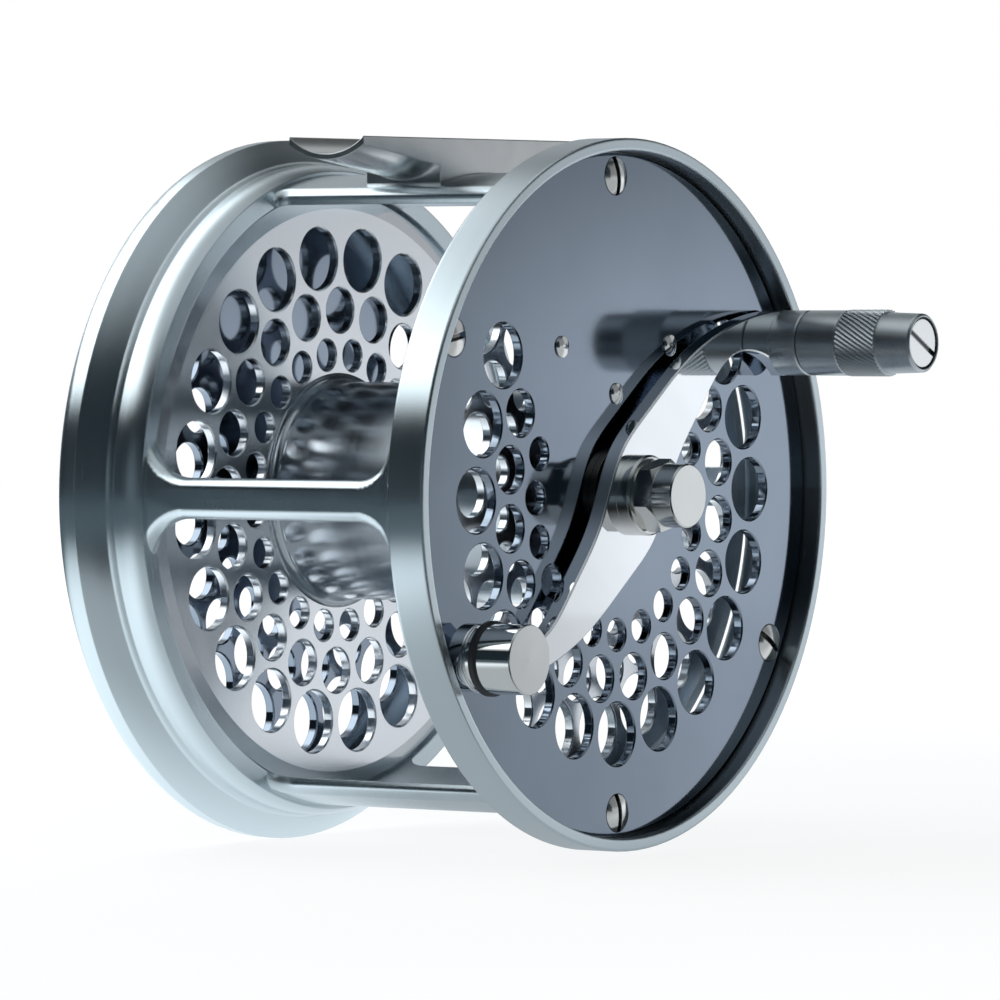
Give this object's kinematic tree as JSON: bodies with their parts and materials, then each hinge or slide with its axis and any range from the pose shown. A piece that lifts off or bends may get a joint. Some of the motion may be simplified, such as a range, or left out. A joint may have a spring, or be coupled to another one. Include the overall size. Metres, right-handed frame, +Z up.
{
  "type": "fly reel",
  "caption": "Open-frame fly reel: perforated spool in a one-piece frame with a black side plate, S-shaped crank with counterweight, knurled grip and a hollow-topped rod foot.",
  "frame": {"origin": "on the spool axis, half way between the spool flanges and under the middle of the foot", "axes": "+Y along the spool axis away from the crank, +Z up through the reel foot, X along the foot"},
  "size_m": [0.1026, 0.0896, 0.1026],
  "materials": {
    "satin_frame": "satin anodised, fine lathe lines",
    "black_plate": "black, mirror polished",
    "screw_steel": "polished heads with fine turning marks",
    "foot_nickel": "satin, lengthwise grain",
    "bush_bronze": "turned",
    "cap_black": "black, polished",
    "shaft_steel": "ground",
    "spring_steel": "blued spring steel",
    "click_steel": "machined",
    "flange_alloy": "fine turned face, bright",
    "arbor_polished": "polished, fine turning",
    "rivet_polished": "polished",
    "crank_mirror": "mirror polished",
    "hub_nickel": "polished nickel with turned sides",
    "handle_satin": "satin with a knurled band",
    "weight_polished": "polished",
    "ring_rubber": "matt black"
  },
  "bodies": {
    "frame": {"frame": "satin_frame", "front_plate": "black_plate", "rear_plate": "black_plate", "front_plate_screws": "screw_steel", "rear_plate_screws": "screw_steel", "reel_foot": "foot_nickel", "foot_screws": "screw_steel", "front_bushing": "bush_bronze", "rear_bushing": "bush_bronze", "rear_bearing_cap": "cap_black", "pawl_pivot": "rivet_polished", "pawl_clip": "spring_steel", "spring_posts": "rivet_polished", "click_springs": "spring_steel"},
    "spool": {"spool_front_flange": "flange_alloy", "spool_rear_flange": "flange_alloy", "spool_arbor": "arbor_polished", "spool_screws": "screw_steel", "spindle": "shaft_steel", "spindle_clip": "spring_steel", "rear_spacer": "shaft_steel", "ratchet_wheel": "click_steel", "ratchet_screws": "screw_steel", "crank_arm": "crank_mirror", "hub_washer": "hub_nickel", "hub_nut": "hub_nickel", "hub_cap": "hub_nickel", "handle_post": "shaft_steel", "handle_collar": "handle_satin", "handle_screw": "screw_steel", "counterweight": "weight_polished", "counterweight_ring": "ring_rubber", "counterweight_screw": "screw_steel"},
    "grip": {"handle_grip": "handle_satin"},
    "pawl": {"click_pawl": "click_steel"}
  },
  "joints": [
    {"name": "spool_spin", "type": "hinge", "parent": "frame", "child": "spool", "pos_m": [0, 0, 0], "axis": [0, 1, 0], "continuous": true},
    {"name": "grip_spin", "type": "hinge", "parent": "spool", "child": "grip", "pos_m": [0.03798, -0.04, 0.0214], "axis": [0, 1, 0], "continuous": true},
    {"name": "pawl_rock", "type": "hinge", "parent": "frame", "child": "pawl", "pos_m": [0, -0.0239, 0.0144], "axis": [0, 1, 0], "range_deg": [-3, 3], "stiffness_Nm_per_rad": 0.0005}
  ]
}
